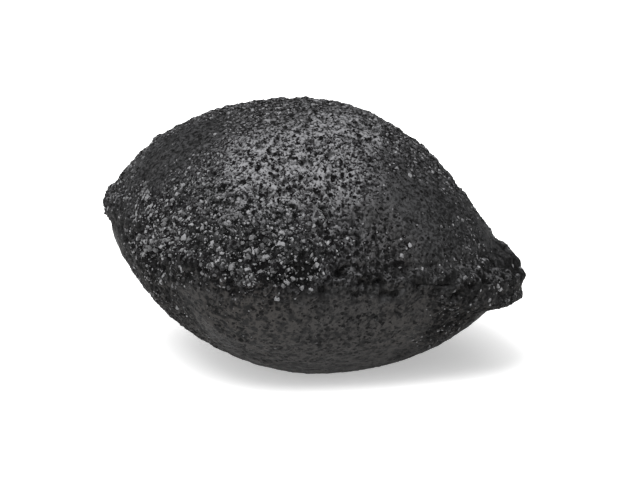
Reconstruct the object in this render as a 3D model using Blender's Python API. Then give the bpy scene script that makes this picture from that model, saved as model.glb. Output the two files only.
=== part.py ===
# Charcoal ball: one pillow-shaped briquette of ground charcoal, pressed between two pocketed rollers.
# It lies on its lower dome, leaning a little. Units are metres, +Z is up, and Z is 0 at the surface below it.

import math

import bmesh
import bpy
from mathutils import Matrix, Vector, noise

# Driving dimensions
LENGTH = 0.050
WIDTH = 0.049
THICKNESS = 0.0345
LOWER_DOME = 0.0176

# Plan outlines, as powers of rounded squares: the rim is squarer than the domes, so it shows at the corners
RIM_POWER = 3.0
DOME_POWER = 2.85
DOME_INSET = 0.0002

# Rim: the rough ridge that the two rollers leave where the domes meet
RIM_WALL = 0.0008
RIM_FOOT = 0.0014
RIM_UNEVEN = 0.0006
RIM_UNEVEN_SPACING = 0.3
RIM_CORNERS = 0.0003
SEAM_WANDER = 0.0005
SEAM_WANDER_SPACING = 0.6
SEAM_DIP = 0.0005

# Lip: at one corner the rim is wider and thicker, and droops
LIP_ANGLE = math.radians(-36)
LIP_NARROWNESS = 10
LIP_REACH = 0.0013
LIP_WALL = 0.0007
LIP_FOOT = 0.0014
LIP_DROP = 0.0019

# Domes: (1 - r^2) to these powers, with hollower flanks by the lip
UPPER_FULLNESS = 0.70
LOWER_FULLNESS = 0.50
LIP_FULLNESS = 0.72
CROWN_SHIFT = -0.0009

# Rest: it leans towards the lip, and is worn flat by this much where it stands
LEAN = math.radians(6)
REST_SPOT_DEPTH = 0.0006

# Relief: lumps are the broad unevenness of the domes, grains the coarse charcoal bits, and hollows the gaps
# that the bits left between them
LUMP_SPACING = 0.012
LUMP_HEIGHT = 0.0005
GRAIN_SPACING = 0.0026
GRAIN_HEIGHT = 0.00025
RIM_GRAIN_HEIGHT = 0.00040
GRAIN_FLAT_TOP = 0.6
BIT_SPACING = 0.0016
BIT_SHARE = 0.9
HOLLOW_SPACING = 0.0020
HOLLOW_DEPTH = 0.00020
HOLLOW_LEVELS = (0.0, 0.45)

# Notches: gaps that broke open along the rim
NOTCH_SPACING = 0.0017
NOTCH_DEPTH = 0.0007
NOTCH_LEVELS = (0.08, 0.42)

# Patches: where the roller's face polished the dome, the relief stands lower. The lower dome is smoother
PATCH_SPACING = 0.011
PATCH_EDGE = 0.28
RAGGED_SPACING = 0.0022
RAGGED_SHARE = 0.18
UPPER_ROUGH = 0.26
LOWER_ROUGH = -0.12
POLISHED_SHARE = 0.34

# Polished spots: plan angle in degrees, how far out as a share of the half side, 1 for the upper dome, radius
POLISHED_SPOTS = (
    (-60, 0.76, 1, 0.0100),
    (168, 0.78, 1, 0.0085),
    (64, 0.55, 1, 0.0100),
    (-36, 1.00, 1, 0.0060),
    (-95, 0.55, -1, 0.0130),
    (110, 0.60, -1, 0.0120),
    (-36, 1.00, -1, 0.0060),
)
SPOT_EDGES = (0.25, 1.2)

# Loose spots, where grains broke out just above and below the seam: plan angle in degrees, how far out as a share
# of the half side, radius
LOOSE_SPOTS = (
    (-158, 0.86, 0.0120),
    (-122, 0.98, 0.0080),
)
LOOSE_EDGES = (0.35, 1.15)
LOOSE_MIDDLE = 0.0020
LOOSE_REACH = 0.0062
LOOSE_BAND = (0.25, 1.1)
LOOSE_SPACING = 0.0033
LOOSE_RAGGED = 0.5

# The rim's own grains start at this share of the plan's half side and reach their full height at the next one
RIM_ZONE = (0.75, 0.92)
RIM_STRENGTH = 0.9

# Chips broken out of the rim: plan angle in degrees, height above the seam, radius, depth
CHIPS = (
    (-13, -0.0020, 0.0034, 0.0010),
    (-72, -0.0016, 0.0040, 0.0010),
    (-112, 0.0013, 0.0030, 0.0008),
    (-160, -0.0014, 0.0033, 0.0010),
    (38, 0.0012, 0.0032, 0.0010),
    (83, -0.0014, 0.0038, 0.0011),
    (131, 0.0012, 0.0040, 0.0012),
)
CHIP_FLOOR = 0.35

# Shifts that give each noise its own pattern
RIM_PATTERN = 2.1
SEAM_PATTERN = 7.3
LUMP_PATTERN = Vector((1.7, 9.2, 3.3))
PATCH_PATTERN = Vector((8.3, 2.1, 4.4))
RAGGED_PATTERN = Vector((2.8, 7.7, 1.1))
LOOSE_PATTERN = Vector((5.5, 1.2, 9.1))
BIT_PATTERN = Vector((5, 5, 5))
HOLLOW_PATTERN = Vector((4.1, 6.6, 0.7))
NOTCH_PATTERN = Vector((6.5, 0.4, 2.2))

# Mesh: cells along each side of a dome and up the band round the rim, and the band's share of a quarter turn
DOME_CELLS = 42
BAND_CELLS = 14
BAND_SHARE = 0.27

CHARCOAL_COLOUR = (0.045, 0.045, 0.047, 1.0)
CHARCOAL_ROUGHNESS = 0.88


def smooth_step(low, high, value):
    share = min(1.0, max(0.0, (value - low) / (high - low)))
    return share * share * (3 - 2 * share)


def outline_radius(angle, power):
    """Distance from the middle to a rounded square's outline, as a share of its half side."""
    return (abs(math.cos(angle)) ** power + abs(math.sin(angle)) ** power) ** (-1 / power)


def outline_noise(angle, spacing, pattern):
    """Smooth noise that runs round the outline and closes on itself."""
    return noise.noise(Vector((math.cos(angle) / spacing, math.sin(angle) / spacing, pattern)))


def lip_share(angle):
    """1 at the lip's corner, falling away on both sides of it."""
    return (0.5 + 0.5 * math.cos(angle - LIP_ANGLE)) ** LIP_NARROWNESS


def seam_height(angle):
    """How far the seam lies above the level middle of the briquette at this plan angle."""
    wander = SEAM_WANDER * outline_noise(angle, SEAM_WANDER_SPACING, SEAM_PATTERN)
    return wander - SEAM_DIP * math.cos(angle - LIP_ANGLE) - LIP_DROP * lip_share(angle)


def rim_radius(angle):
    """Distance from the middle to the rim's edge."""
    edge = outline_radius(angle, RIM_POWER) * LENGTH / 2
    edge += RIM_UNEVEN * outline_noise(angle, RIM_UNEVEN_SPACING, RIM_PATTERN)
    return edge + RIM_CORNERS * math.sin(2 * angle) ** 4 + LIP_REACH * lip_share(angle)


def plan_angle(u, v):
    """The direction that a point of a square grid takes once its squares become rounded squares."""
    if u == v == 0:
        return 0.0
    if abs(u) >= abs(v):
        return math.pi / 4 * v / u + (math.pi if u < 0 else 0)
    return math.pi / 2 - math.pi / 4 * u / v + (math.pi if v < 0 else 0)


def pillow_point(cell):
    """The smooth pillow's point for a point of the box grid, whose sides run from -1 to 1."""
    u, v, w = cell
    on_dome = abs(w) > 0.9999
    share = math.copysign(1 - max(abs(u), abs(v)) * (1 - BAND_SHARE), w) if on_dome else w * BAND_SHARE
    upper = share > 0
    angle = plan_angle(u, v)
    latitude = share * math.pi / 2
    lip = lip_share(angle)
    fullness = UPPER_FULLNESS if upper else LOWER_FULLNESS
    fullness += (LIP_FULLNESS - fullness) * lip
    climb = abs(math.sin(latitude)) ** (2 * fullness)
    rise = climb * (THICKNESS + REST_SPOT_DEPTH - LOWER_DOME if upper else LOWER_DOME)
    dome = (outline_radius(angle, DOME_POWER) * LENGTH / 2 - DOME_INSET) * math.cos(latitude)
    wall = RIM_WALL + LIP_WALL * lip
    rim_share = 1 - smooth_step(wall, wall + RIM_FOOT + LIP_FOOT * lip, rise)
    radius = dome + max(0.0, rim_radius(angle) - dome) * rim_share
    x = radius * math.cos(angle) + CROWN_SHIFT * math.copysign(climb, share)
    y = radius * math.sin(angle) * WIDTH / LENGTH
    z = math.copysign(rise, share) + seam_height(angle) * (1 - climb)
    return Vector((x, y, z))


def beside_spot(point, degrees, outward, radius):
    """Distance seen from above to a spot's middle, as a share of its radius."""
    angle = math.radians(degrees)
    middle = Vector((math.cos(angle), math.sin(angle))) * outward * LENGTH / 2
    return (point.xy - middle).length / radius


def rough_share(point):
    """1 where the coarse bits stand out, 0 where the roller polished the dome."""
    ragged = RAGGED_SHARE * noise.noise(point / RAGGED_SPACING + RAGGED_PATTERN)
    patch = noise.noise(point / PATCH_SPACING + PATCH_PATTERN) + ragged
    upper = point.z > 0
    rough = smooth_step(-PATCH_EDGE, PATCH_EDGE, patch + (UPPER_ROUGH if upper else LOWER_ROUGH))
    for degrees, outward, dome, radius in POLISHED_SPOTS:
        if upper == (dome > 0):
            rough *= smooth_step(*SPOT_EDGES, beside_spot(point, degrees, outward, radius) + ragged)
    return rough


def loose_share(point):
    """1 where the grains stand loosest, beside the seam."""
    ragged = LOOSE_RAGGED * noise.noise(point / LOOSE_SPACING + LOOSE_PATTERN)
    near = 1 - smooth_step(*LOOSE_BAND, abs(point.z - LOOSE_MIDDLE) / LOOSE_REACH + ragged)
    nearest = min(beside_spot(point, *spot) for spot in LOOSE_SPOTS)
    return near * (1 - smooth_step(*LOOSE_EDGES, nearest + ragged))


def rim_share_of(point):
    """1 on the rim, 0 on the domes."""
    outward = Vector((point.x / LENGTH, point.y / WIDTH)).length * 2
    on_rim = 1 - smooth_step(RIM_WALL, RIM_WALL + 2 * RIM_FOOT, abs(point.z))
    return on_rim * smooth_step(*RIM_ZONE, outward)


def relief(point):
    """Height of the rough surface over the smooth pillow."""
    rim = rim_share_of(point)
    rough = max(rough_share(point), loose_share(point))
    strength = max(POLISHED_SHARE + (1 - POLISHED_SHARE) * rough, RIM_STRENGTH * rim)
    lump = noise.noise(point / LUMP_SPACING + LUMP_PATTERN)
    nearest, second = noise.voronoi(point / GRAIN_SPACING)[0][:2]
    grain = min(GRAIN_FLAT_TOP, second - nearest) - GRAIN_FLAT_TOP / 2
    bits = noise.noise(point / BIT_SPACING + BIT_PATTERN)
    height = GRAIN_HEIGHT * strength
    height += (RIM_GRAIN_HEIGHT - height) * rim
    hollow = smooth_step(*HOLLOW_LEVELS, noise.noise(point / HOLLOW_SPACING + HOLLOW_PATTERN))
    notch = smooth_step(*NOTCH_LEVELS, noise.noise(point / NOTCH_SPACING + NOTCH_PATTERN)) * rim
    raised = LUMP_HEIGHT * lump + height * (grain + BIT_SHARE * bits)
    return raised - HOLLOW_DEPTH * strength * hollow - NOTCH_DEPTH * notch


def chip_depth(point):
    """How far the broken chips along the rim cut into the surface."""
    depth = 0.0
    for degrees, height, radius, deepest in CHIPS:
        angle = math.radians(degrees)
        edge = rim_radius(angle)
        centre = Vector((edge * math.cos(angle), edge * math.sin(angle), height))
        apart = (point - centre).length / radius
        depth = max(depth, deepest * (1 - smooth_step(CHIP_FLOOR, 1.0, apart)))
    return depth


def box_grid():
    """A cube from -1 to 1 whose top and bottom are fine square grids and whose sides are bands."""
    grid = bmesh.new()
    bmesh.ops.create_cube(grid, size=2)
    for axis, cells in ((0, DOME_CELLS), (1, DOME_CELLS), (2, BAND_CELLS)):
        along = [e for e in grid.edges if abs(e.verts[0].co[axis] - e.verts[1].co[axis]) > 1]
        bmesh.ops.subdivide_edges(grid, edges=along, cuts=cells - 1, use_grid_fill=True)
    return grid


def press(grid):
    """Turns the box grid into the pressed pillow with its rough skin."""
    for vertex in grid.verts:
        vertex.co = pillow_point(vertex.co)
    grid.normal_update()
    for vertex, outward in [(v, v.normal.copy()) for v in grid.verts]:
        vertex.co += outward * (relief(vertex.co) - chip_depth(vertex.co))


def set_down(grid):
    """Leans the briquette, wears its resting spot flat and centres it over the origin at its overall size."""
    level = Vector((-math.sin(LIP_ANGLE), math.cos(LIP_ANGLE), 0))
    bmesh.ops.rotate(grid, verts=grid.verts, matrix=Matrix.Rotation(LEAN, 3, level))
    ground = min(v.co.z for v in grid.verts) + REST_SPOT_DEPTH
    for vertex in grid.verts:
        vertex.co.z = max(ground, vertex.co.z)
    for axis, size in ((0, LENGTH), (1, WIDTH), (2, THICKNESS)):
        low = min(v.co[axis] for v in grid.verts)
        high = max(v.co[axis] for v in grid.verts)
        start = 0.0 if axis == 2 else -size / 2
        for vertex in grid.verts:
            vertex.co[axis] = start + (vertex.co[axis] - low) * size / (high - low)


def charcoal_material():
    material = bpy.data.materials.new("charcoal")
    material.use_nodes = True
    shader = material.node_tree.nodes["Principled BSDF"]
    shader.inputs["Base Color"].default_value = CHARCOAL_COLOUR
    shader.inputs["Roughness"].default_value = CHARCOAL_ROUGHNESS
    shader.inputs["Metallic"].default_value = 0.0
    material.diffuse_color = CHARCOAL_COLOUR
    return material


def charcoal_ball():
    grid = box_grid()
    press(grid)
    set_down(grid)
    bmesh.ops.triangulate(grid, faces=grid.faces)
    bmesh.ops.recalc_face_normals(grid, faces=grid.faces)
    mesh = bpy.data.meshes.new("charcoal_ball")
    grid.to_mesh(mesh)
    grid.free()
    mesh.shade_smooth()
    mesh.materials.append(charcoal_material())
    ball = bpy.data.objects.new("charcoal_ball", mesh)
    bpy.context.scene.collection.objects.link(ball)


for startup_object in list(bpy.data.objects):
    bpy.data.objects.remove(startup_object)
charcoal_ball()
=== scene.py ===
# Charcoal ball: one pillow shaped briquette of pressed charcoal, lying on a pale studio floor.
# Metres, Z up. The frame gives the size. All else that shapes or colours it is in the dictionaries below.

import math

import bmesh
import bpy
import numpy as np
from mathutils import Matrix, Vector, noise


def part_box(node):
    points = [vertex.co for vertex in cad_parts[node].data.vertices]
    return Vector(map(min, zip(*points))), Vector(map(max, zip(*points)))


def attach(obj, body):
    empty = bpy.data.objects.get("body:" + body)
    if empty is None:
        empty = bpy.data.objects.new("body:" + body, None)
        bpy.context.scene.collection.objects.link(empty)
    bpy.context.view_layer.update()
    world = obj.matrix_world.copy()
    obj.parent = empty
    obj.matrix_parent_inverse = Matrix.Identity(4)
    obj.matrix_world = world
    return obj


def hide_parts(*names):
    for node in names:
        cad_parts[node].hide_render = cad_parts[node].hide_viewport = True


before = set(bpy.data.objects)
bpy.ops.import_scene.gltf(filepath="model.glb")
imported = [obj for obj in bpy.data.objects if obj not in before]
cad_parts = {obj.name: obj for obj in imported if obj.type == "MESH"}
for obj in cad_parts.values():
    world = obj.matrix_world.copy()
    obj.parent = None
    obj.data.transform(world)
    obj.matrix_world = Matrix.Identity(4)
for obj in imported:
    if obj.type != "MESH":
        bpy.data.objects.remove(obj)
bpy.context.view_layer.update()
lowCorner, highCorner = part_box("charcoal_ball")
size = highCorner - lowCorner
print("frame loaded, briquette box in mm:", [round(1000 * side, 1) for side in size])


def smoothStep(low, high, value):
    # 0 up to the low end, 1 from the high end on, and an even curve between them
    share = np.clip((value - low) / (high - low), 0, 1)
    return share * share * (3 - 2 * share)


# The pressed pillow: two domes that meet in a rough seam, with a wide crumbly lip at one corner
pillow = {
    "lowerDome": 0.0176,          # depth of the lower dome before it is worn flat
    "rimPower": 3.0,              # powers of the rounded squares seen from above
    "domePower": 2.85,
    "domeInset": 0.0002,
    "rimWall": 0.0008,            # how high the rim stands straight, and then how far its foot runs out
    "rimFoot": 0.0014,
    "rimUneven": 0.0006,
    "unevenNoise": (0.3, 2.1),    # spacing round a circle of 1, and which pattern
    "rimCorners": 0.0003,
    "seamWander": 0.0005,
    "wanderNoise": (0.6, 7.3),
    "seamDip": 0.0005,            # the whole seam dips towards the lip
    "lipAngle": math.radians(-36),
    "lipNarrowness": 10,
    "lipReach": 0.0013,
    "lipWall": 0.0007,
    "lipFoot": 0.0014,
    "lipDrop": 0.0019,
    "upperFullness": 0.70,
    "lowerFullness": 0.50,
    "lipFullness": 0.72,
    "crownShift": -0.0009,
    "lean": math.radians(6),
    "restSpot": 0.0006,           # worn off under the lower dome
    "gritRoom": 0.00012,          # left inside the frame's box for the grit that stands out
    "domeCells": 180,             # cells along a side of each dome
    "bandCells": 44,              # cells up the band that holds the seam
    "bandShare": 0.27,
}


def boxGrid(across, up):
    # points on the outside of a box of cells, from -1 to 1, and the four sided faces between them
    index = {}
    faces = []

    def corner(place):
        return index.setdefault(place, len(index))

    def side(cellsA, cellsB, placeOf):
        for a in range(cellsA):
            for b in range(cellsB):
                cell = ((a, b), (a + 1, b), (a + 1, b + 1), (a, b + 1))
                faces.append([corner(placeOf(*c)) for c in cell])

    side(across, across, lambda a, b: (a, b, up))
    side(across, across, lambda a, b: (b, a, 0))
    side(across, up, lambda a, b: (a, 0, b))
    side(across, up, lambda a, b: (across - a, across, b))
    side(across, up, lambda a, b: (across, a, b))
    side(across, up, lambda a, b: (0, across - a, b))
    places = np.array(list(index), float)
    return places / (across / 2, across / 2, up / 2) - 1, faces


def planRadius(angle, power):
    # a rounded square of half side 1
    return (np.abs(np.cos(angle)) ** power + np.abs(np.sin(angle)) ** power) ** (-1 / power)


def roundNoise(angle, spacing, pattern):
    # smooth noise that runs round the outline and closes on itself
    turns = zip(np.cos(angle) / spacing, np.sin(angle) / spacing)
    return np.array([noise.noise(Vector((c, s, pattern))) for c, s in turns])


def lipShare(angle):
    return (0.5 + 0.5 * np.cos(angle - pillow["lipAngle"])) ** pillow["lipNarrowness"]


def seamHeight(angle):
    wander = pillow["seamWander"] * roundNoise(angle, *pillow["wanderNoise"])
    dip = pillow["seamDip"] * np.cos(angle - pillow["lipAngle"])
    return wander - dip - pillow["lipDrop"] * lipShare(angle)


def rimRadius(angle):
    edge = planRadius(angle, pillow["rimPower"]) * size.x / 2
    edge += pillow["rimUneven"] * roundNoise(angle, *pillow["unevenNoise"])
    return edge + pillow["rimCorners"] * np.sin(2 * angle) ** 4 + pillow["lipReach"] * lipShare(angle)


def planAngle(u, v):
    # squares round the middle of the grid become rounded squares round the crown
    sideways = np.abs(u) >= np.abs(v)
    longer = np.where(sideways, u, v)
    longer = np.where(longer == 0, 1, longer)
    turn = math.pi / 4 * np.where(sideways, v, -u) / longer
    leftOrRight = np.where(u < 0, math.pi, 0)
    backOrFront = np.where(v < 0, -math.pi / 2, math.pi / 2)
    return turn + np.where(sideways, leftOrRight, backOrFront)


def pillowPoints(grid):
    u, v, w = grid.T
    band = pillow["bandShare"]
    onDome = np.abs(w) > 0.9999   # the top and bottom of the grid, the rest is the band
    outwards = np.maximum(np.abs(u), np.abs(v))
    share = np.where(onDome, np.copysign(1 - outwards * (1 - band), w), w * band)
    angle = planAngle(u, v)
    upper = share > 0
    lip = lipShare(angle)
    fullness = np.where(upper, pillow["upperFullness"], pillow["lowerFullness"])
    fullness = fullness + (pillow["lipFullness"] - fullness) * lip
    climb = np.abs(np.sin(share * math.pi / 2)) ** (2 * fullness)
    upperDome = size.z + pillow["restSpot"] - pillow["lowerDome"]
    rise = climb * np.where(upper, upperDome, pillow["lowerDome"])
    dome = planRadius(angle, pillow["domePower"]) * size.x / 2 - pillow["domeInset"]
    dome = dome * np.cos(share * math.pi / 2)
    wall = pillow["rimWall"] + pillow["lipWall"] * lip
    foot = pillow["rimFoot"] + pillow["lipFoot"] * lip
    onRim = 1 - smoothStep(0, 1, (rise - wall) / foot)
    radius = dome + np.maximum(0, rimRadius(angle) - dome) * onRim
    x = radius * np.cos(angle) + pillow["crownShift"] * np.copysign(climb, share)
    y = radius * np.sin(angle) * size.y / size.x
    z = np.copysign(rise, share) + seamHeight(angle) * (1 - climb)
    return np.stack([x, y, z], axis=1)


# The skin: broad lumps, coarse bits, then small pressed grains with gaps and pits between them.
# In each kind of spot, a place is its plan angle in degrees, its share of the half side and its radius.
# "fade" says where its edge starts and ends, as shares of that radius, and "ragged" how ragged the edge
# is, on which spacing as a share of the patches', and in which pattern.
skin = {
    "lumpSpacing": 0.012,
    "lumpHeight": 0.0005,
    "bitSpacing": 0.0026,         # coarse charcoal bits
    "bitHeight": 0.00025,
    "rimBitHeight": 0.00040,
    "bitFlat": 0.6,               # how far inside a bit its top turns flat, as a share of the spacing
    "bitMiddle": 0.3,             # taken off, so that the bits rise and sink about the smooth pillow
    "crumbSpacing": 0.0016,
    "crumbShare": 0.9,            # height of the crumbs against the bits
    "hollowSpacing": 0.0020,      # hollows that the bits left between them
    "hollowDepth": 0.00020,
    "hollowLevel": 0.45,          # noise at this level is a hollow at its deepest
    "grainSpacing": 0.00070,      # small grains, each pressed in to its own depth
    "grainStep": 0.00020,
    "gapWidth": 0.22,             # gap between two grains, as a share of their spacing
    "gapDepth": 0.00014,
    "gapShade": 0.6,               # how dark a gap is painted as shade, against a pit
    "pitSpacing": 0.00052,
    "pitDepth": 0.00060,
    "pitLevel": -0.12,            # noise below this level is a pit
    "pitInHollow": 0.2,           # higher for more pits in the hollows
    "pitShade": 0.25,              # a pit this deep is painted fully dark as shade, as a share of the depth above
    "notchSpacing": 0.0017,       # gaps that broke open along the seam
    "notchDepth": 0.0007,
    "notchLevels": (0.08, 0.42),
    # notches painted dark as shade
    "notchShade": 0.7,
    "rimZone": (0.75, 0.92),      # shares of the half side between which the rim starts
    "rimCoarse": 0.9,             # the least of the coarse relief on the rim, and of the fine
    "rimFine": 0.7,
    "coarseShare": 0.34,          # how much of the coarse relief is left where the roller polished it
    "fineShare": 0.16,            # and of the small grains and pits
    "patchSpacing": 0.011,        # patches of loose grains and of calm skin
    "patchFade": 0.28,
    "patterns": {                 # where each noise is read, so that no two of them look alike
        "lump": (1.7, 9.2, 3.3),
        "crumb": (5, 5, 5),
        "hollow": (4.1, 6.6, 0.7),
        "notch": (6.5, 0.4, 2.2),
        "pit": (3, 8, 1),
        "patch": (8.3, 2.1, 4.4),
    },
    "ragged": (0.18, 0.2, (2.8, 7.7, 1.1)),
    "upperRough": 0.26,           # higher for more loose grains on that dome
    "lowerRough": -0.12,
    "polished": {                 # by the roller, and darker with little dust: partly painted shade on the upper left edge and the front right flank
        "upper": ((-60, 0.76, 0.0100), (170, 0.74, 0.0100), (64, 0.55, 0.0100), (-36, 1.00, 0.0060)),
        "lower": ((-95, 0.55, 0.0130), (110, 0.60, 0.0120), (-36, 1.00, 0.0060)),
        "fade": (0.25, 1.2),
    },
    "grainy": {                   # on the lower dome only the small grains stand out
        "upper": ((-30, 0.48, 0.0090), (-110, 0.30, 0.0100)),
        "lower": ((-170, 0.92, 0.0115), (95, 0.90, 0.0090)),
        "fade": (0.4, 1.1),
        "upperMost": 0.85,
        "lowerMost": 0.8,
        "lumpy": 0.5,             # how far the lumps bend the edge on the lower dome
    },
    "loose": {                    # where the grains stand loose, on both domes alike
        "places": ((-158, 0.86, 0.0120), (-122, 0.98, 0.0080)),
        "fade": (0.35, 1.15),
        "ragged": (0.5, 0.3, (5.5, 1.2, 9.1)),
        "middle": 0.0020,         # height above the seam, and how far up and down from there
        "reach": 0.0062,
        "reachFade": (0.25, 1.1),
        "crumbsFrom": (-0.0040, 0.0002),   # heights above the seam between which the crumbs start
    },
    "dustAndHighlight": {                    # pale dust and a painted highlight, in the middle of the upper dome
        "places": (
            (-130, 0.68, 0.0095),
            (-112, 0.54, 0.0096),
            (-85, 0.28, 0.0070),
            (42, 0.50, 0.0095),
            (100, 0.62, 0.0080),
        ),
        "fade": (0.2, 1.1),
        "ragged": (0.25, 0.4, (9, 1, 6)),
    },
    "worn": {                     # where the loose grains have rubbed off
        "places": ((-88, 0.88, 0.0105), (-112, 1.18, 0.0070)),
        "fade": (0.3, 1.1),
        "ragged": (0.4, 0.3, (7, 3, 2)),
    },
    "paintedLightBelow": {                    # painted light: paler patches on the lower dome, the larger one at its front left
        "places": ((-130, 0.98, 0.0115), (20, 0.80, 0.0100)),
        "fade": (0.2, 1.1),
        "ragged": (0.3, 0.4, (2, 4, 7)),
    },
    "paintedShade": {                    # painted shade: the darkest place on the lower dome, at its front right
        "place": (-56, 0.94, 0.0100),
        "fade": (0.2, 1.1),
        "most": 0.30,
    },
    "chips": {                    # plan angle in degrees, height above the seam, radius, depth
        "places": (
            (-13, -0.0020, 0.0034, 0.0010),
            (-72, -0.0016, 0.0040, 0.0010),
            (-112, 0.0013, 0.0030, 0.0008),
            (-160, -0.0014, 0.0033, 0.0010),
            (38, 0.0012, 0.0032, 0.0010),
            (83, -0.0014, 0.0038, 0.0011),
            (131, 0.0012, 0.0040, 0.0012),
        ),
        "fade": (0.35, 1.0),
    },
}


def noiseAt(points, spacing, pattern):
    return np.array([noise.noise(Vector(p)) for p in points / spacing + np.array(pattern)])


def skinNoise(points, name):
    return noiseAt(points, skin[name + "Spacing"], skin["patterns"][name])


def grainsAt(points, spacing):
    # for each point: how far inside its grain it is, and the grain's own number
    inside, number = [], []
    for p in points / spacing:
        gaps, middles = noise.voronoi(Vector(p))
        inside.append(gaps[1] - gaps[0])
        number.append(0.5 + 0.5 * noise.cell(middles[0]))
    return np.array(inside), np.array(number)


def raggedEdge(points, kind):
    amount, spacing, pattern = kind["ragged"]
    return amount * noiseAt(points, spacing * skin["patchSpacing"], pattern)


def outsideOf(points, kind, place, ragged=0):
    # seen from above: 0 in the middle of a spot, 1 beyond its edge
    degrees, outwards, radius = place
    angle = math.radians(degrees)
    middle = np.array([math.cos(angle), math.sin(angle)]) * outwards * size.x / 2
    apart = np.linalg.norm(points[:, :2] - middle, axis=1) / radius
    return smoothStep(*kind["fade"], apart + ragged)


def spotShare(points, kind):
    # 1 in the middle of each spot of a kind, 0 beyond the edges of them all
    ragged = raggedEdge(points, kind)
    share = np.zeros(len(points))
    for place in kind["places"]:
        share = np.maximum(share, 1 - outsideOf(points, kind, place, ragged))
    return share


def roughShare(points):
    # 1 where loose grains stand out, 0 where the roller polished the skin
    polished, grainy = skin["polished"], skin["grainy"]
    ragged = raggedEdge(points, skin)
    upper = points[:, 2] > 0
    level = skinNoise(points, "patch") + ragged + np.where(upper, skin["upperRough"], skin["lowerRough"])
    rough = smoothStep(-skin["patchFade"], skin["patchFade"], level)
    for places, onDome in ((polished["upper"], upper), (polished["lower"], ~upper)):
        for place in places:
            rough *= np.where(onDome, outsideOf(points, polished, place, ragged), 1)
    for place in grainy["upper"]:
        stands = 1 - outsideOf(points, grainy, place, ragged)
        rough = np.maximum(rough, upper * grainy["upperMost"] * stands)
    return rough


def looseShare(points):
    # 1 where the grains stand loosest, a little above and below the seam
    loose = skin["loose"]
    away = np.abs(points[:, 2] - loose["middle"]) / loose["reach"]
    near = 1 - smoothStep(*loose["reachFade"], away + raggedEdge(points, loose))
    return spotShare(points, loose) * near


def rimShare(points):
    # 1 on the rim along the seam, 0 on the domes
    plan = np.hypot(points[:, 0] / size.x, points[:, 1] / size.y) * 2
    top = pillow["rimWall"] + 2 * pillow["rimFoot"]
    near = 1 - smoothStep(pillow["rimWall"], top, np.abs(points[:, 2]))
    return near * smoothStep(*skin["rimZone"], plan)


def skinOf(points):
    # height of the skin over the smooth pillow, and the shares that the finish is painted by
    rim = rimShare(points)
    loose = looseShare(points)
    rough = np.maximum(roughShare(points), loose)
    strength = skin["coarseShare"] + (1 - skin["coarseShare"]) * rough
    strength = np.maximum(strength, skin["rimCoarse"] * rim)

    lump = skinNoise(points, "lump")
    bitHeight = skin["bitHeight"] * strength
    bitHeight = bitHeight + (skin["rimBitHeight"] - bitHeight) * rim
    inBit = np.minimum(skin["bitFlat"], grainsAt(points, skin["bitSpacing"])[0])
    bits = inBit - skin["bitMiddle"] + skin["crumbShare"] * skinNoise(points, "crumb")
    height = skin["lumpHeight"] * lump + bitHeight * bits

    hollows = skinNoise(points, "hollow")
    height -= skin["hollowDepth"] * strength * smoothStep(0, skin["hollowLevel"], hollows)
    notch = smoothStep(*skin["notchLevels"], skinNoise(points, "notch")) * rim
    height -= skin["notchDepth"] * notch

    lower = points[:, 2] < 0
    grainy = skin["grainy"]
    for place in grainy["lower"]:
        stands = 1 - outsideOf(points, grainy, place, grainy["lumpy"] * lump)
        rough = np.maximum(rough, grainy["lowerMost"] * lower * stands)

    fine = np.maximum(skin["fineShare"] + (1 - skin["fineShare"]) * rough, skin["rimFine"] * rim)
    inGrain, number = grainsAt(points, skin["grainSpacing"])
    gap = 1 - smoothStep(0, skin["gapWidth"], inGrain)
    pitLevel = skin["pitLevel"] + skin["pitInHollow"] * hollows
    pit = np.maximum(0, pitLevel - skinNoise(points, "pit"))
    step = skin["grainStep"] * (number - 0.5)
    height += fine * (step - skin["gapDepth"] * gap - skin["pitDepth"] * pit)

    # painted shade: how dark the pits and the gaps between grains are painted
    dark = np.maximum(smoothStep(0, skin["pitShade"], pit), skin["gapShade"] * gap * (1 - number))
    # painted light: paler patches on the lower dome
    paintedLightBelow = spotShare(points, skin["paintedLightBelow"]) * lower
    shadeSpot = skin["paintedShade"]
    lowerShade = shadeSpot["most"] * lower * (1 - outsideOf(points, shadeSpot, shadeSpot["place"]))
    return height, {
        "rough": rough,
        "rim": rim,
        "grain": number,
        # painted shade in the pits, the gaps between grains and the notches
        "hollow": np.maximum(fine * dark, skin["notchShade"] * notch),
        # pale dust and a painted highlight in the middle of the upper dome
        "dustAndHighlight": spotShare(points, skin["dustAndHighlight"]),
        "loose": loose,
        "paintedLightBelow": paintedLightBelow,
        # painted shade between the loose grains and on the lower dome's front right
        "paintedShade": np.maximum(loose * (1 - paintedLightBelow), lowerShade),
        "above": smoothStep(*skin["loose"]["crumbsFrom"], points[:, 2]),
        "worn": spotShare(points, skin["worn"]),
    }


def chipDepth(points):
    depth = np.zeros(len(points))
    for degrees, height, radius, deepest in skin["chips"]["places"]:
        angle = math.radians(degrees)
        edge = rimRadius(np.array([angle]))[0]
        middle = np.array([edge * math.cos(angle), edge * math.sin(angle), height])
        apart = np.linalg.norm(points - middle, axis=1) / radius
        depth = np.maximum(depth, deepest * (1 - smoothStep(*skin["chips"]["fade"], apart)))
    return depth


def setDown(points):
    # leans it towards the lip, wears the resting spot flat and fits it to the frame's box
    level = Vector((-math.sin(pillow["lipAngle"]), math.cos(pillow["lipAngle"]), 0))
    points = points @ np.array(Matrix.Rotation(pillow["lean"], 3, level)).T
    ground = points[:, 2].min() + pillow["restSpot"]
    points[:, 2] = np.maximum(ground, points[:, 2])
    low, high = points.min(axis=0), points.max(axis=0)
    inset = np.array([1, 1, 0]) * pillow["gritRoom"]
    room = np.array(size) - pillow["gritRoom"] * np.array([2, 2, 1])
    return np.array(lowCorner) + inset + (points - low) * room / (high - low)


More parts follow.
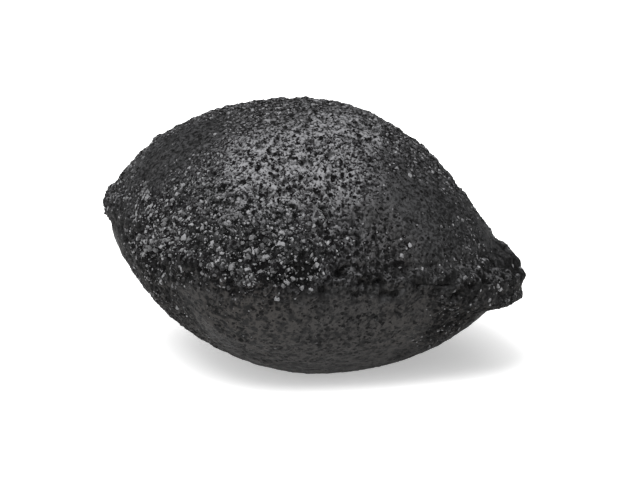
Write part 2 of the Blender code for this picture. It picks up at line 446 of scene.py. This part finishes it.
def meshOf(name, points, faces):
    mesh = bpy.data.meshes.new(name)
    mesh.from_pydata(points, [], faces)
    mesh.update()
    return mesh


def objectOf(data):
    made = bpy.data.objects.new(data.name, data)
    bpy.context.scene.collection.objects.link(made)
    return made


def writeShares(mesh, shares):
    for name, values in shares.items():
        written = mesh.attributes.new(name, "FLOAT", "POINT")
        written.data.foreach_set("value", values.astype(np.float32))


def normalsOf(mesh):
    normals = np.empty(len(mesh.vertices) * 3)
    mesh.vertices.foreach_get("normal", normals)
    return normals.reshape(-1, 3)


def makeBriquette():
    grid, faces = boxGrid(pillow["domeCells"], pillow["bandCells"])
    smooth = pillowPoints(grid)
    mesh = meshOf("charcoalBriquette", smooth, faces)
    height, shares = skinOf(smooth)
    points = smooth + normalsOf(mesh) * (height - chipDepth(smooth))[:, None]
    mesh.vertices.foreach_set("co", setDown(points).astype(np.float32).ravel())
    mesh.update()
    mesh.shade_smooth()
    writeShares(mesh, shares)
    print("briquette pressed:", len(faces), "faces")
    return objectOf(mesh), np.array(faces), shares


# Grit of broken charcoal that stands in the skin. Each grain is a small uneven stone, turned at random
skinGrains = {
    "count": 9500,
    "smallest": 0.00012,          # radius
    "largest": 0.00037,
    "smallOnes": 1.8,             # higher for fewer large ones
    "darkOnes": 1.0,              # higher for fewer pale ones
    "sunk": 0.40,                 # how deep the grain's middle lies, as a share of its radius
    "flatness": 0.70,             # 1 for round, less for pressed flat
    "seed": 23,
}
fineGrit = {
    "count": 9500,
    "smallest": 0.00009,
    "largest": 0.00019,
    "smallOnes": 1.2,
    "darkOnes": 1.0,
    "sunk": 0.25,
    "flatness": 0.8,
    "seed": 41,
}
seamCrumbs = {
    "count": 1150,
    "smallest": 0.00018,
    "largest": 0.00050,
    "smallOnes": 1.4,
    "darkOnes": 0.65,
    "sunk": 0.50,
    "flatness": 0.9,
    "seed": 11,
}
stone = {                         # what every grain starts from
    "subdivisions": 1,
    "stretch": (0.55, 1.40),      # along each of its own three axes
    "uneven": (0.75, 1.2),        # how far out each corner stands
}
scatter = {                       # where the grit lies, as chances against 1 on rough skin that faces up
    "turnedDown": 0.15,
    "turning": (-0.45, 0.15),     # from facing down to facing up
    "onCalm": 0.01,               # skin grains where the roller polished it, and fine grit there
    "fineOnCalm": 0.03,
    "crumbsOnRim": 0.04,
    "rimBare": 0.88,              # how bare each of these is kept
    "wornBare": 0.88,
    "hollowBare": 0.8,
    "dustAndHighlightBare": 0.6,
}


def stoneShape():
    shape = bmesh.new()
    bmesh.ops.create_icosphere(shape, subdivisions=stone["subdivisions"], radius=1)
    corners = np.array([v.co for v in shape.verts])
    faces = np.array([[v.index for v in f.verts] for f in shape.faces])
    shape.free()
    return corners, faces


def randomTurns(count, rng):
    # one random rotation matrix for each grain
    w, x, y, z = rng.normal(size=(count, 4)).T
    length = np.sqrt(w * w + x * x + y * y + z * z)
    w, x, y, z = w / length, x / length, y / length, z / length
    rows = (
        (1 - 2 * (y * y + z * z), 2 * (x * y - z * w), 2 * (x * z + y * w)),
        (2 * (x * y + z * w), 1 - 2 * (x * x + z * z), 2 * (y * z - x * w)),
        (2 * (x * z - y * w), 2 * (y * z + x * w), 1 - 2 * (x * x + y * y)),
    )
    return np.stack([np.stack(row, axis=1) for row in rows], axis=1)


def placesOn(mesh, faces, chance, count, rng):
    # random places on the briquette's faces, more of them where the chance is higher
    points = np.empty(len(mesh.vertices) * 3)
    mesh.vertices.foreach_get("co", points)
    points = points.reshape(-1, 3)
    areas = np.empty(len(faces))
    mesh.polygons.foreach_get("area", areas)
    weight = areas * chance[faces].mean(axis=1)
    chosen = faces[rng.choice(len(faces), count, p=weight / weight.sum())]
    a, b = rng.random((2, count, 1))
    corner = np.stack([(1 - a) * (1 - b), a * (1 - b), a * b, (1 - a) * b], axis=1)
    middles = (points[chosen] * corner).sum(axis=1)
    outward = (normalsOf(mesh)[chosen] * corner).sum(axis=1)
    return middles, outward / np.linalg.norm(outward, axis=1)[:, None], chosen[:, 0]


def makeGrit(name, grit, briquette, faces, chance, dustAndHighlight):
    rng = np.random.default_rng(grit["seed"])
    count = grit["count"]
    middles, outward, beside = placesOn(briquette.data, faces, chance, count, rng)
    large = rng.random(count) ** grit["smallOnes"]
    radius = grit["smallest"] + (grit["largest"] - grit["smallest"]) * large
    corners, sides = stoneShape()
    stretch = rng.uniform(*stone["stretch"], (count, 1, 3))
    uneven = rng.uniform(*stone["uneven"], (count, len(corners), 1))
    grains = np.einsum("nij,nkj->nki", randomTurns(count, rng), corners * stretch * uneven)
    upright = np.einsum("nki,ni->nk", grains, outward)[:, :, None] * outward[:, None, :]
    grains = (grains - (1 - grit["flatness"]) * upright) * radius[:, None, None]
    grains += (middles - outward * (grit["sunk"] * radius)[:, None])[:, None, :]
    points = np.clip(grains.reshape(-1, 3), np.array(lowCorner), np.array(highCorner))
    first = np.arange(count)[:, None, None] * len(corners)
    mesh = meshOf(name, points, (sides[None] + first).reshape(-1, 3).tolist())
    tone = np.repeat(rng.random(count) ** grit["darkOnes"], len(corners))
    shine = np.repeat(rng.random(count), len(corners))
    writeShares(mesh, {"tone": tone, "shine": shine, "dustAndHighlight": np.repeat(dustAndHighlight[beside], len(corners))})
    print(name, "set in:", count, "grains")
    return objectOf(mesh)


def gritChances(mesh, shares):
    # how likely each kind of grit is at each corner of the briquette's mesh
    up = smoothStep(*scatter["turning"], normalsOf(mesh)[:, 2])
    up = scatter["turnedDown"] + (1 - scatter["turnedDown"]) * up
    calm = (1 - scatter["rimBare"] * shares["rim"] * (1 - shares["loose"])) * up
    held = 1 - scatter["wornBare"] * shares["worn"]
    bare = 1 - scatter["hollowBare"] * shares["hollow"]
    bare = bare * (1 - scatter["dustAndHighlightBare"] * shares["dustAndHighlight"]) * held
    grains = scatter["onCalm"] + (1 - scatter["onCalm"]) * shares["rough"]
    fine = scatter["fineOnCalm"] + (1 - scatter["fineOnCalm"]) * shares["rough"]
    crumbs = scatter["crumbsOnRim"] * shares["rim"] + shares["loose"] * shares["above"]
    return grains * calm * bare, fine * calm * bare, crumbs * held


class Nodes:
    # short names for building the node tree of a material or a world
    def __init__(self, owner):
        self.owner = owner
        owner.use_nodes = True
        self.tree = owner.node_tree
        self.shader = self.tree.nodes.get("Principled BSDF")

    def add(self, kind, **settings):
        node = self.tree.nodes.new(kind)
        for setting, value in settings.items():
            setattr(node, setting, value)
        return node

    def link(self, source, target):
        self.tree.links.new(source, target)

    def share(self, name):
        return self.add("ShaderNodeAttribute", attribute_name=name).outputs["Fac"]

    def noise(self, place, scale, detail, roughness):
        node = self.add("ShaderNodeTexNoise")
        for name, number in (("Scale", scale), ("Detail", detail), ("Roughness", roughness)):
            node.inputs[name].default_value = number
        self.link(place, node.inputs["Vector"])
        return node.outputs["Fac"]

    def distance(self, place, scale):
        # distance to the nearest of many scattered points, as a share of their spacing
        node = self.add("ShaderNodeTexVoronoi")
        node.inputs["Scale"].default_value = scale
        self.link(place, node.inputs["Vector"])
        return node.outputs["Distance"]

    def warped(self, place, scale, amount):
        source = self.add("ShaderNodeTexNoise")
        source.inputs["Scale"].default_value = scale
        self.link(place, source.inputs["Vector"])
        moved = self.add("ShaderNodeVectorMath", operation="MULTIPLY_ADD")
        moved.inputs[1].default_value = (amount, amount, amount)
        self.link(source.outputs["Color"], moved.inputs[0])
        self.link(place, moved.inputs[2])
        return moved.outputs["Vector"]

    def spread(self, value, low, high, toLow=0.0, toHigh=1.0):
        node = self.add("ShaderNodeMapRange", clamp=True)
        for name, number in (("From Min", low), ("From Max", high), ("To Min", toLow), ("To Max", toHigh)):
            node.inputs[name].default_value = number
        self.link(value, node.inputs["Value"])
        return node.outputs["Result"]

    def swing(self, value, low, high, amount):
        # from darker by the amount to lighter by it
        return self.spread(value, low, high, -amount, amount)

    def byShare(self, name, atNone, atFull):
        return self.spread(self.share(name), 0, 1, atNone, atFull)

    def calc(self, operation, first, second):
        node = self.add("ShaderNodeMath", operation=operation)
        for socket, value in zip(node.inputs, (first, second)):
            if isinstance(value, (int, float)):
                socket.default_value = value
            else:
                self.link(value, socket)
        return node.outputs[0]

    def plus(self, first, second):
        return self.calc("ADD", first, second)

    def times(self, first, second):
        return self.calc("MULTIPLY", first, second)

    def mix(self, factor, first, second):
        node = self.add("ShaderNodeMix", data_type="RGBA")
        self.link(factor, node.inputs["Factor"])
        for name, colour in (("A", first), ("B", second)):
            socket = next(s for s in node.inputs if s.name == name and s.type == "RGBA")
            if isinstance(colour, tuple):
                socket.default_value = colour
            else:
                self.link(colour, socket)
        return next(s for s in node.outputs if s.type == "RGBA")

    def bump(self, height, strength, distance):
        node = self.add("ShaderNodeBump")
        node.inputs["Strength"].default_value = strength
        node.inputs["Distance"].default_value = distance
        self.link(height, node.inputs["Height"])
        self.link(node.outputs["Normal"], self.shader.inputs["Normal"])


# Pale dust on whatever faces up, with painted top light: what faces up is painted paler
dustAndTopLight = {
    "colour": (0.180, 0.180, 0.187, 1),
    "from": (0.30, 0.86),         # how far a place must face up to turn paler with dust and painted top light, and to be fully covered
}


def facingUp(n):
    # 1 for a place that faces up, -1 for one that faces down
    parts = n.add("ShaderNodeSeparateXYZ")
    n.link(n.add("ShaderNodeTexCoord").outputs["Normal"], parts.inputs[0])
    return parts.outputs["Z"]


def dustedAndTopLit(n, colour, held):
    # paler where it faces up: partly dust, partly painted top light
    lies = n.times(n.spread(facingUp(n), *dustAndTopLight["from"]), held)
    return n.mix(n.calc("MINIMUM", lies, 1.0), colour, dustAndTopLight["colour"])


# Dull pressed charcoal: near neutral black, greyer on the grain tops, with painted shade in the pits,
# gaps, notches and pores. Each noise is its marks per metre, detail and roughness, and its range is where
# it turns from dark to pale.
charcoal = {
    # black painted as shade in the pits, gaps, notches and pores, and wherever shade is painted on the
    # skin
    "shadeBlack": (0.0010, 0.0010, 0.0010, 1),
    "dark": (0.0060, 0.0060, 0.0062, 1),
    "pale": (0.0290, 0.0290, 0.0300, 1),
    "warm": (0.0290, 0.0268, 0.0254, 1),
    "fine": (2600, 4, 0.65),      # grains that only show as bump and tone
    "fineRange": (0.40, 0.60),
    "fineTone": 0.60,             # how much darker and lighter they make it
    "speck": (1250, 2, 0.5),
    "speckRange": (0.36, 0.64),
    "speckTone": 0.22,
    "speckBelow": 0.45,           # more of the same on what faces down
    "turnsDown": (-0.5, 0.0),     # from wholly facing down to not at all
    "grainTone": 0.15,
    "pepperByRough": (0.80, 1.2), # how strongly single grains show on polished and on rough skin
    "mottle": (420, 3, 0.6),
    "mottleRange": (0.35, 0.65),
    "mottleTone": (0.15, 0.55),
    "paintedLightBelowTone": (0.05, 0.60),
    "wornTone": 0.36,
    "rimTone": 0.24,              # darker by this
    "cloud": (70, 2, 0.5),        # warmer and cooler areas
    "cloudRange": (0.45, 0.75),
    "cloudWarmth": (-0.10, 0.50),
    "warmBelow": 0.8,
    "warmEnds": (-0.4, 0.3),      # from facing down to facing up
    "dustAndTopLightByRough": (0.08, 0.38),  # how thickly dust and painted top light lie on polished and on rough skin
    "dustAndHighlightOnSpots": 0.95,
    "dustAndTopLightOnLoose": 0.3,
    "dustAndTopLightRange": (-0.35, 0.45),
    "dustAndHighlightPepper": 0.25,
    "hollowRange": (0.10, 0.65),
    "hollowShade": 0.80,
    "paintedShadeDark": 0.75,
    "dullness": (0.60, 0.92),     # roughness on polished and on rough skin
    "dullRange": (0.3, 0.7),
    "dullSwing": 0.08,
    "gloss": 0.10,
    "bumpStrength": 0.7,
    "fineBump": 0.00012,
    "mottleBump": 0.8,            # against the fine bump
    "pores": (                    # pores per metre, radius as a share of their spacing, depth
        (950, 0.35, 0.00035),
        (1750, 0.34, 0.00016),
    ),
    "poreEdge": 0.72,             # share of a pore's radius where its edge begins
    "smallestPore": 0.0001,       # keeps its size above nothing
    "poreWarp": (2400, 0.0005),   # bends per metre, and how far they push a pore out of round
    "poresByRough": (0.65, 1.0),  # how open the pores are
    "poresOnLoose": 0.30,
    "poresBelow": 0.16,
}


def pores(n, place, openness):
    # how deep each place lies in a pore, in metres, and how far it is inside one
    uneven = n.warped(place, *charcoal["poreWarp"])
    depth, inside = 0.0, 0.0
    for perMetre, radius, deepest in charcoal["pores"]:
        reach = n.plus(n.times(openness, radius), charcoal["smallestPore"])
        ratio = n.calc("DIVIDE", n.distance(uneven, perMetre), reach)
        pore = n.spread(ratio, charcoal["poreEdge"], 1.0, 1.0, 0.0)
        inside = n.calc("MAXIMUM", pore, inside)
        depth = n.calc("MAXIMUM", n.times(pore, deepest), depth)
    return depth, inside


def makeCharcoal():
    n = Nodes(bpy.data.materials.new("pressedCharcoal"))
    place = n.add("ShaderNodeTexCoord").outputs["Object"]
    fine = n.noise(place, *charcoal["fine"])
    mottle = n.noise(place, *charcoal["mottle"])
    speck = n.noise(place, *charcoal["speck"])
    cloud = n.noise(place, *charcoal["cloud"])
    below = n.spread(facingUp(n), *charcoal["turnsDown"], 1.0, 0.0)
    openness = n.byShare("rough", *charcoal["poresByRough"])
    openness = n.plus(openness, n.times(n.share("loose"), charcoal["poresOnLoose"]))
    openness = n.plus(openness, n.times(below, charcoal["poresBelow"]))
    depth, inside = pores(n, place, openness)

    # the salt and pepper of single grains, faint where the roller polished the skin
    pepper = n.swing(speck, *charcoal["speckRange"], charcoal["speckTone"])
    pepper = n.plus(pepper, n.swing(fine, *charcoal["fineRange"], charcoal["fineTone"]))
    pepper = n.plus(pepper, n.swing(n.share("grain"), 0, 1, charcoal["grainTone"]))
    pepper = n.times(pepper, n.byShare("rough", *charcoal["pepperByRough"]))
    coarse = n.swing(speck, *charcoal["speckRange"], charcoal["speckBelow"])
    pepper = n.plus(pepper, n.times(coarse, below))

    tone = n.plus(pepper, n.spread(mottle, *charcoal["mottleRange"], *charcoal["mottleTone"]))
    # painted light: paler patches on the lower dome
    blotchy = n.spread(speck, *charcoal["speckRange"], *charcoal["paintedLightBelowTone"])
    tone = n.plus(tone, n.times(n.share("paintedLightBelow"), blotchy))
    tone = n.plus(tone, n.times(n.share("worn"), charcoal["wornTone"]))
    tone = n.calc("SUBTRACT", tone, n.times(n.share("rim"), charcoal["rimTone"]))
    warm = n.spread(cloud, *charcoal["cloudRange"], *charcoal["cloudWarmth"])
    warm = n.plus(warm, n.spread(facingUp(n), *charcoal["warmEnds"], charcoal["warmBelow"], 0.0))
    pale = n.mix(n.spread(warm, 0, 1), charcoal["pale"], charcoal["warm"])
    colour = n.mix(n.spread(tone, 0.0, 1.0), charcoal["dark"], pale)

    # how thickly dust and painted top light lie, thinner on polished skin and where the grains stand loose
    thick = n.byShare("rough", *charcoal["dustAndTopLightByRough"])
    # the dust spots add pale dust and a painted highlight
    thick = n.plus(thick, n.times(n.share("dustAndHighlight"), charcoal["dustAndHighlightOnSpots"]))
    thick = n.times(thick, n.byShare("loose", 1.0, charcoal["dustAndTopLightOnLoose"]))
    patchy = n.plus(pepper, n.times(n.share("dustAndHighlight"), charcoal["dustAndHighlightPepper"]))
    colour = dustedAndTopLit(n, colour, n.times(thick, n.spread(patchy, *charcoal["dustAndTopLightRange"])))

    # painted shade: black in the pits, gaps and notches, between the loose grains, on the lower dome's
    # front right and inside the pores
    hollow = n.spread(n.share("hollow"), *charcoal["hollowRange"], 0.0, charcoal["hollowShade"])
    for black in (hollow, n.times(n.share("paintedShade"), charcoal["paintedShadeDark"]), inside):
        colour = n.mix(black, colour, charcoal["shadeBlack"])
    n.link(colour, n.shader.inputs["Base Color"])

    dull = n.byShare("rough", *charcoal["dullness"])
    dull = n.plus(dull, n.swing(fine, *charcoal["dullRange"], charcoal["dullSwing"]))
    n.link(dull, n.shader.inputs["Roughness"])
    n.shader.inputs["Specular IOR Level"].default_value = charcoal["gloss"]
    grains = n.plus(fine, n.times(mottle, charcoal["mottleBump"]))
    relief = n.calc("SUBTRACT", n.times(grains, charcoal["fineBump"]), depth)
    n.bump(relief, charcoal["bumpStrength"], 1.0)   # the relief is in metres
    return n.owner


# The grit: bits of harder char, most of them dull and paler on top with dust and painted top light,
# the palest partly painted glints, and a few with a clean face that glints
gritChar = {
    "dark": (0.0040, 0.0040, 0.0042, 1),
    # pale grains: partly pale char, partly painted glints
    "pale": (0.1800, 0.1800, 0.1840, 1),
    "fewPaleAndGlints": 3.5,               # higher for fewer pale grains, the palest of them partly painted glints
    "fine": (3600, 3, 0.6),
    "fineRange": (0.3, 0.7),
    "fineTone": 0.18,
    "dustAndHighlightTones": (0.15, 0.5),    # the grains that dust and the painted highlight cover on those spots, by their tone
    "dustAndTopLightAnywhere": (0.60, 1.0), # and everywhere
    "dull": 0.85,                 # roughness
    "clean": 0.20,
    "cleanShare": 0.09,
    "cleanEdge": 0.8,
    "gloss": 0.22,
    "bumpStrength": 0.5,
    "bumpDepth": 0.00006,
}


def makeGritChar():
    n = Nodes(bpy.data.materials.new("gritChar"))
    place = n.add("ShaderNodeTexCoord").outputs["Object"]
    fine = n.noise(place, *gritChar["fine"])
    tone = n.calc("POWER", n.share("tone"), gritChar["fewPaleAndGlints"])
    tone = n.plus(tone, n.swing(fine, *gritChar["fineRange"], gritChar["fineTone"]))
    colour = n.mix(n.spread(tone, 0.0, 1.0), gritChar["dark"], gritChar["pale"])
    # grains turn paler with dust and painted top light, and on the dust spots with the painted highlight
    # too
    dustAndHighlight = n.times(n.share("dustAndHighlight"), n.spread(n.share("tone"), *gritChar["dustAndHighlightTones"]))
    anywhere = n.spread(n.share("tone"), *gritChar["dustAndTopLightAnywhere"])
    colour = dustedAndTopLit(n, colour, n.calc("MAXIMUM", dustAndHighlight, anywhere))
    n.link(colour, n.shader.inputs["Base Color"])

    few = gritChar["cleanShare"]
    clean = n.spread(n.share("shine"), 1 - few, 1 - gritChar["cleanEdge"] * few)
    n.link(n.spread(clean, 0, 1, gritChar["dull"], gritChar["clean"]), n.shader.inputs["Roughness"])
    n.shader.inputs["Specular IOR Level"].default_value = gritChar["gloss"]
    n.bump(fine, gritChar["bumpStrength"], gritChar["bumpDepth"])
    return n.owner


# Pale floor and soft studio light from the upper left, with the room's white all round
studio = {
    "floorSide": 8.0,
    "floorColour": (0.88, 0.88, 0.88, 1),
    "floorRoughness": 0.9,
    "floorGloss": 0.1,
    "floorGlow": 0.42,            # keeps the shadows on the floor pale
    "roomDim": 0.02,              # light from the dim side of the room
    "roomBright": 3.2,            # and from its bright upper left
    "roomFalloff": 2.6,
    "cameraAzimuth": math.radians(-20),
    "cameraElevation": math.radians(13.5),
    "lens": 360,
    "distance": 0.80,
    "clip": (0.01, 50),
    "aim": (0.0, 0.0, 0.0150),
    "lightFrom": (0.30, 0.70, 1.05),   # how far to the camera's left, towards the camera, and up
    "lightStrength": 2.1,
    "lightSpread": math.radians(36),
}


def lookAlong(thing, direction):
    thing.rotation_mode = "QUATERNION"
    thing.rotation_quaternion = direction.to_track_quat("-Z", "Y")


def makeFloor():
    half = studio["floorSide"] / 2
    corners = [(-half, -half, 0), (half, -half, 0), (half, half, 0), (-half, half, 0)]
    floor = objectOf(meshOf("studioFloor", corners, [(0, 1, 2, 3)]))
    n = Nodes(bpy.data.materials.new("paleFloor"))
    n.shader.inputs["Base Color"].default_value = studio["floorColour"]
    n.shader.inputs["Roughness"].default_value = studio["floorRoughness"]
    n.shader.inputs["Specular IOR Level"].default_value = studio["floorGloss"]
    n.shader.inputs["Emission Color"].default_value = (1, 1, 1, 1)
    n.shader.inputs["Emission Strength"].default_value = studio["floorGlow"]
    floor.data.materials.append(n.owner)


def cameraBack():
    # from the briquette to the camera
    turn, tilt = studio["cameraAzimuth"], studio["cameraElevation"]
    return Vector((math.sin(turn) * math.cos(tilt), -math.cos(turn) * math.cos(tilt), math.sin(tilt)))


def makeCamera():
    camera = objectOf(bpy.data.cameras.new("photoCamera"))
    camera.data.lens = studio["lens"]
    camera.data.clip_start, camera.data.clip_end = studio["clip"]
    camera.location = Vector(studio["aim"]) + cameraBack() * studio["distance"]
    lookAlong(camera, -cameraBack())
    bpy.context.scene.camera = camera


def lightDirection():
    turn = studio["cameraAzimuth"]
    left = Vector((-math.cos(turn), -math.sin(turn), 0))
    nearer = Vector((math.sin(turn), -math.cos(turn), 0))
    across, near, up = studio["lightFrom"]
    return (left * across + nearer * near + Vector((0, 0, up))).normalized()


def makeLight():
    lamp = objectOf(bpy.data.lights.new("softLight", "SUN"))
    lamp.data.energy = studio["lightStrength"]
    lamp.data.angle = studio["lightSpread"]
    lamp.location = lightDirection()
    lookAlong(lamp, -lightDirection())


def makeRoom():
    # a room that glows brightest at the upper left, and that the camera sees as plain white
    world = bpy.data.worlds.new("whiteRoom")
    bpy.context.scene.world = world
    n = Nodes(world)
    towards = n.add("ShaderNodeVectorMath", operation="DOT_PRODUCT")
    towards.inputs[1].default_value = lightDirection()
    n.link(n.add("ShaderNodeTexCoord").outputs["Generated"], towards.inputs[0])
    bright = n.calc("POWER", n.calc("MAXIMUM", towards.outputs["Value"], 0.0), studio["roomFalloff"])
    strength = n.add("ShaderNodeMix")
    strength.inputs["B"].default_value = 1.0
    n.link(n.add("ShaderNodeLightPath").outputs["Is Camera Ray"], strength.inputs["Factor"])
    n.link(n.spread(bright, 0, 1, studio["roomDim"], studio["roomBright"]), strength.inputs["A"])
    background = n.tree.nodes["Background"]
    background.inputs["Color"].default_value = (1, 1, 1, 1)
    n.link(strength.outputs["Result"], background.inputs["Strength"])
    bpy.context.scene.view_settings.view_transform = "Standard"


makeFloor()
makeCamera()
makeLight()
makeRoom()
print("studio set")

briquette, briquetteFaces, shares = makeBriquette()
briquette.data.materials.append(makeCharcoal())
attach(briquette, "root")
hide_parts("charcoal_ball")

gritMaterial = makeGritChar()
grits = (("skinGrains", skinGrains), ("fineGrit", fineGrit), ("seamCrumbs", seamCrumbs))
for (gritName, grit), chance in zip(grits, gritChances(briquette.data, shares)):
    piece = makeGrit(gritName, grit, briquette, briquetteFaces, chance, shares["dustAndHighlight"])
    piece.data.materials.append(gritMaterial)
    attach(piece, "root")
print("finishes on")
